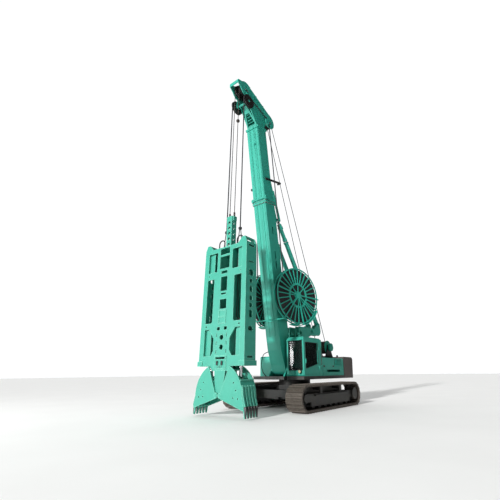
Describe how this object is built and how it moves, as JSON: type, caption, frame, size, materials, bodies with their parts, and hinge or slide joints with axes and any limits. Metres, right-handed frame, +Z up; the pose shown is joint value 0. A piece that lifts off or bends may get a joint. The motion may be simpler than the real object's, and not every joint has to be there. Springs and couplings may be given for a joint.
{
  "type": "diaphragm wall grab",
  "caption": "Crawler machine with a leaning mast, spoked hose reels and a rope-hung hydraulic clamshell grab for digging diaphragm wall trenches.",
  "frame": {"origin": "on the ground under the middle of the whole machine", "axes": "+X forward to the grab, +Y to the cab's side, +Z up"},
  "size_m": [9.0998, 4.4, 16.881],
  "materials": {
    "paint": "satin teal paint",
    "chassis": "matt black paint",
    "track_steel": "worn steel",
    "dark_steel": "oiled steel",
    "weight_paint": "dark brown-grey paint",
    "glass": "clear",
    "seat": "matt",
    "rope": "greased wire rope",
    "hose": "matt",
    "chrome": "polished"
  },
  "bodies": {
    "undercarriage": {"car_body": "chassis", "slewing_ring": "dark_steel", "track_frame_left": "chassis", "track_frame_right": "chassis", "track_left": "track_steel", "track_right": "track_steel", "drive_sprockets": "dark_steel", "idlers": "dark_steel", "track_rollers": "dark_steel"},
    "upper": {"turntable": "chassis", "foot_brackets": "paint", "counterweight": "weight_paint", "cab_shell": "paint", "cab_glass": "glass", "cab_seat": "seat", "hood_left": "paint", "hood_right": "paint", "engine_block": "dark_steel", "winch_stand": "chassis", "gantry": "paint", "exhaust_stack": "dark_steel"},
    "door": {"cab_door": "paint", "door_glass": "glass"},
    "winch_left": {"winch_drum_left": "paint"},
    "winch_right": {"winch_drum_right": "paint"},
    "mast": {"lower_boom": "paint", "upper_mast": "paint", "mast_head": "paint", "head_ropes": "rope", "rope_guide": "chassis", "reel_carrier": "paint", "back_ropes": "rope", "feed_hoses": "hose"},
    "front_sheave": {"front_sheaves": "dark_steel"},
    "rear_sheave": {"rear_sheaves": "dark_steel"},
    "hose_wheel": {"hose_wheels": "dark_steel"},
    "reel_left": {"hose_reel_left": "paint", "hose_coil_left": "hose"},
    "reel_right": {"hose_reel_right": "paint", "hose_coil_right": "hose"},
    "luff_barrel": {"luff_barrels": "paint"},
    "luff_rod": {"luff_rods": "chrome"},
    "grab": {"grab_frame": "paint", "suspension_column": "paint", "front_ropes": "rope", "front_hoses": "hose"},
    "ram_left": {"jaw_ram_left": "paint"},
    "ram_right": {"jaw_ram_right": "paint"},
    "rod_left": {"jaw_rod_left": "chrome"},
    "rod_right": {"jaw_rod_right": "chrome"},
    "left_jaw": {"jaw_left": "paint"},
    "right_jaw": {"jaw_right": "paint"}
  },
  "joints": [
    {"name": "slew", "type": "hinge", "parent": "undercarriage", "child": "upper", "pos_m": [-0.74994, 0, 0.43], "axis": [0, 0, 1], "continuous": true},
    {"name": "luff", "type": "hinge", "parent": "upper", "child": "mast", "pos_m": [0.40006, 0, 1.65], "axis": [0, 1, 0], "range_deg": [0, 8]},
    {"name": "luff_barrel_swing", "type": "hinge", "parent": "upper", "child": "luff_barrel", "pos_m": [-2.79994, 0, 4.05], "axis": [0, 1, 0], "range_deg": [0, 8.03]},
    {"name": "luff_rod_slide", "type": "slide", "parent": "luff_barrel", "child": "luff_rod", "axis": [0.5766, 0, 0.817], "range_m": [0, 0.56977]},
    {"name": "grab_hang", "type": "hinge", "parent": "mast", "child": "grab", "pos_m": [3.74993, 0, 16.4041], "axis": [0, 1, 0], "range_deg": [-8.2, 0]},
    {"name": "left_jaw_close", "type": "hinge", "parent": "grab", "child": "left_jaw", "pos_m": [4.14993, 0.11, 0.77], "axis": [-1, 0, 0], "range_deg": [0, 73]},
    {"name": "right_jaw_close", "type": "hinge", "parent": "grab", "child": "right_jaw", "pos_m": [4.14993, -0.11, 0.77], "axis": [1, 0, 0], "range_deg": [0, 73.2]},
    {"name": "left_ram_swing", "type": "hinge", "parent": "grab", "child": "ram_left", "pos_m": [4.14993, 0.86, 3.382], "axis": [1, 0, 0], "range_deg": [0, 2.35]},
    {"name": "left_rod_slide", "type": "slide", "parent": "ram_left", "child": "rod_left", "axis": [0, -0.035, -0.9994], "range_m": [0, 1.08849]},
    {"name": "left_winch_turn", "type": "hinge", "parent": "upper", "child": "winch_left", "pos_m": [-3.39994, 0, 2.86], "axis": [0, 1, 0], "continuous": true},
    {"name": "left_reel_turn", "type": "hinge", "parent": "mast", "child": "reel_left", "pos_m": [0.37521, 1.01, 5.13682], "axis": [0.2079, 0.9781, 0], "continuous": true},
    {"name": "right_ram_swing", "type": "hinge", "parent": "grab", "child": "ram_right", "pos_m": [4.14993, -0.86, 3.382], "axis": [-1, 0, 0], "range_deg": [0, 2.35]},
    {"name": "right_rod_slide", "type": "slide", "parent": "ram_right", "child": "rod_right", "axis": [0, 0.035, -0.9994], "range_m": [0, 1.08849]},
    {"name": "right_winch_turn", "type": "hinge", "parent": "upper", "child": "winch_right", "pos_m": [-3.39994, 0, 2.86], "axis": [0, 1, 0], "continuous": true},
    {"name": "right_reel_turn", "type": "hinge", "parent": "mast", "child": "reel_right", "pos_m": [0.37521, -1.01, 5.13682], "axis": [-0.2079, 0.9781, 0], "continuous": true},
    {"name": "front_sheave_turn", "type": "hinge", "parent": "mast", "child": "front_sheave", "pos_m": [3.74993, 0, 16.4041], "axis": [0, 1, 0], "continuous": true},
    {"name": "rear_sheave_turn", "type": "hinge", "parent": "mast", "child": "rear_sheave", "pos_m": [1.66993, 0, 15.6041], "axis": [0, 1, 0], "continuous": true},
    {"name": "hose_wheel_turn", "type": "hinge", "parent": "mast", "child": "hose_wheel", "pos_m": [3.66993, 0, 15.5341], "axis": [0, 1, 0], "continuous": true},
    {"name": "door_open", "type": "hinge", "parent": "upper", "child": "door", "pos_m": [-0.70599, 1.5123, 1.39], "axis": [0, 0, 1], "range_deg": [0, 150]}
  ],
  "couplings": [
    {"joint": "luff_barrel_swing", "follows": "luff", "ratio": 0.97664},
    {"joint": "luff_rod_slide", "follows": "luff", "m_per_rad": 3.9937},
    {"joint": "grab_hang", "follows": "luff", "ratio": -1},
    {"joint": "right_jaw_close", "follows": "left_jaw_close", "ratio": 1},
    {"joint": "left_ram_swing", "follows": "left_jaw_close", "ratio": 0.030827},
    {"joint": "left_rod_slide", "follows": "left_jaw_close", "m_per_rad": 0.83681},
    {"joint": "right_ram_swing", "follows": "left_jaw_close", "ratio": 0.030827},
    {"joint": "right_rod_slide", "follows": "left_jaw_close", "m_per_rad": 0.83681}
  ]
}
